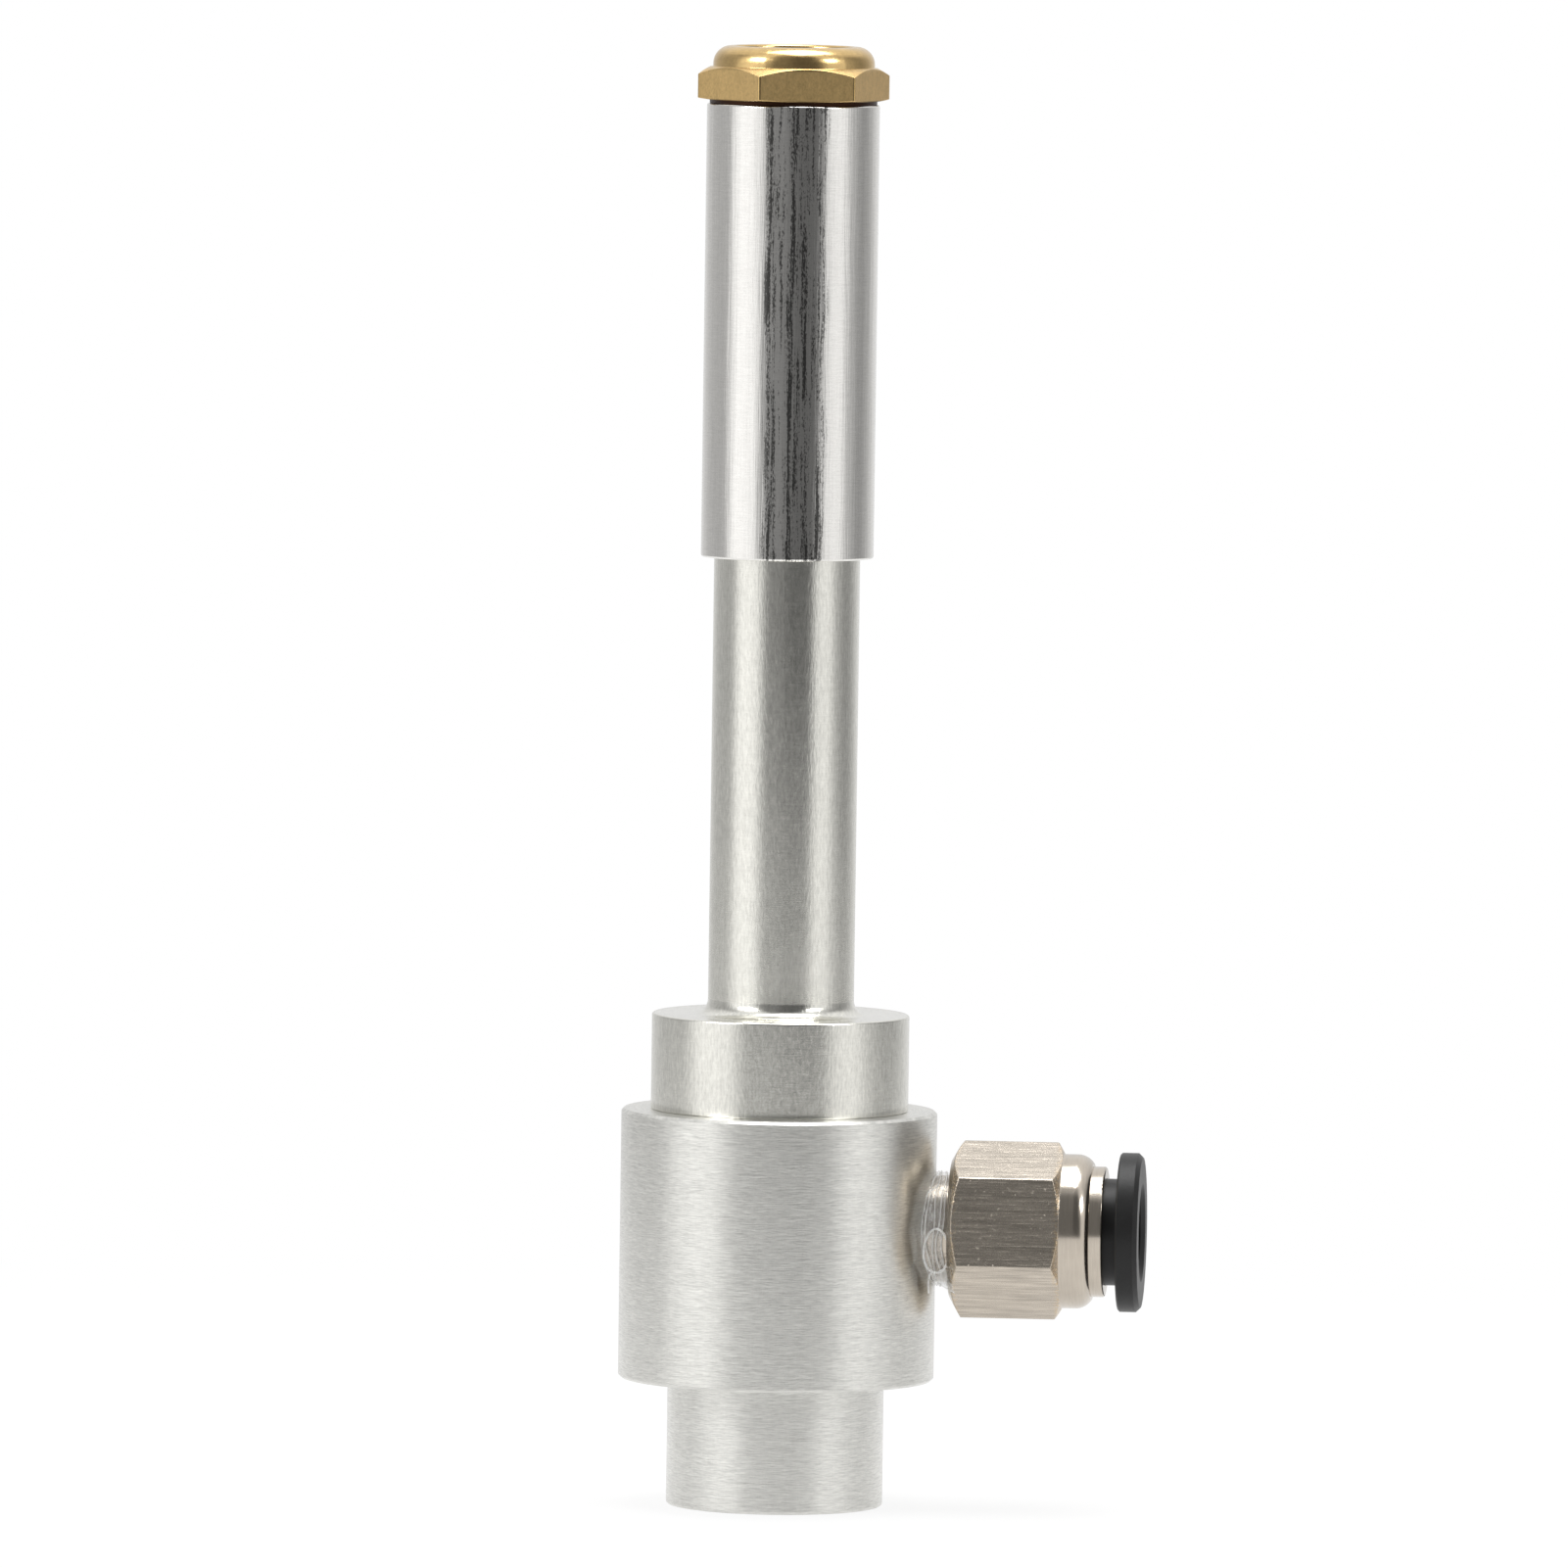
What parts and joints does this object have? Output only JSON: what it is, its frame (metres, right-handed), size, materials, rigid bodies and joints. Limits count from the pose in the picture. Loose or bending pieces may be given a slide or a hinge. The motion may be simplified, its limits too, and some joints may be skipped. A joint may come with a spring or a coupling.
{
  "type": "vortex tube",
  "caption": "Vortex tube that splits compressed air into cold and hot streams, with a push-in hose inlet on its side, a hot tube in a polished sleeve and a flat brass silencer.",
  "frame": {"origin": "centre of the cold outlet's end face, which the part stands on", "axes": "+Z along the tube towards the hot end, +X along the air inlet's fitting, away from the body"},
  "size_m": [0.0474, 0.0286, 0.1321],
  "materials": {
    "satin_aluminium": "fine turned satin",
    "turned_aluminium": "turned and lightly polished",
    "polished_aluminium": "polished along the tube",
    "brass": "turned",
    "nickel_plated_brass": "nickel plated over turned brass",
    "sintered_bronze": "sintered grains",
    "black_plastic": "fine moulded satin",
    "spring_steel": "rolled sheet",
    "seal_rubber": "moulded",
    "clear_film": "clear film"
  },
  "bodies": {
    "housing": {"main_body": "satin_aluminium", "cold_outlet": "satin_aluminium", "cold_orifice": "brass", "nozzle_ring": "brass", "orifice_o_ring": "seal_rubber", "cold_outlet_o_ring": "seal_rubber", "hot_flange_o_ring": "seal_rubber", "hot_tube": "turned_aluminium", "hot_end_sleeve": "polished_aluminium", "silencer_body": "brass", "silencer_disc": "sintered_bronze", "fitting_body": "nickel_plated_brass", "fitting_guide_ring": "nickel_plated_brass", "fitting_seal": "seal_rubber", "backing_ring": "black_plastic", "grip_ring": "spring_steel", "thread_tape": "clear_film"},
    "valve_travel_body": {"valve_o_ring": "seal_rubber"},
    "valve_body": {"hot_valve": "brass"},
    "collar_body": {"release_collar": "black_plastic"}
  },
  "joints": [
    {"name": "collar_press", "type": "slide", "parent": "housing", "child": "collar_body", "axis": [-1, 0, 0], "range_m": [0, 0.00115], "stiffness_N_per_m": 2000, "springref_m": -0.001},
    {"name": "valve_travel", "type": "slide", "parent": "housing", "child": "valve_travel_body", "axis": [0, 0, 1], "range_m": [-0.0015, 0.002]},
    {"name": "valve_turn", "type": "hinge", "parent": "valve_travel_body", "child": "valve_body", "pos_m": [0, 0, 0.1081], "axis": [0, 0, 1], "range_deg": [-540, 720]}
  ],
  "couplings": [
    {"joint": "valve_turn", "follows": "valve_travel", "rad_per_m": 6283.2}
  ]
}
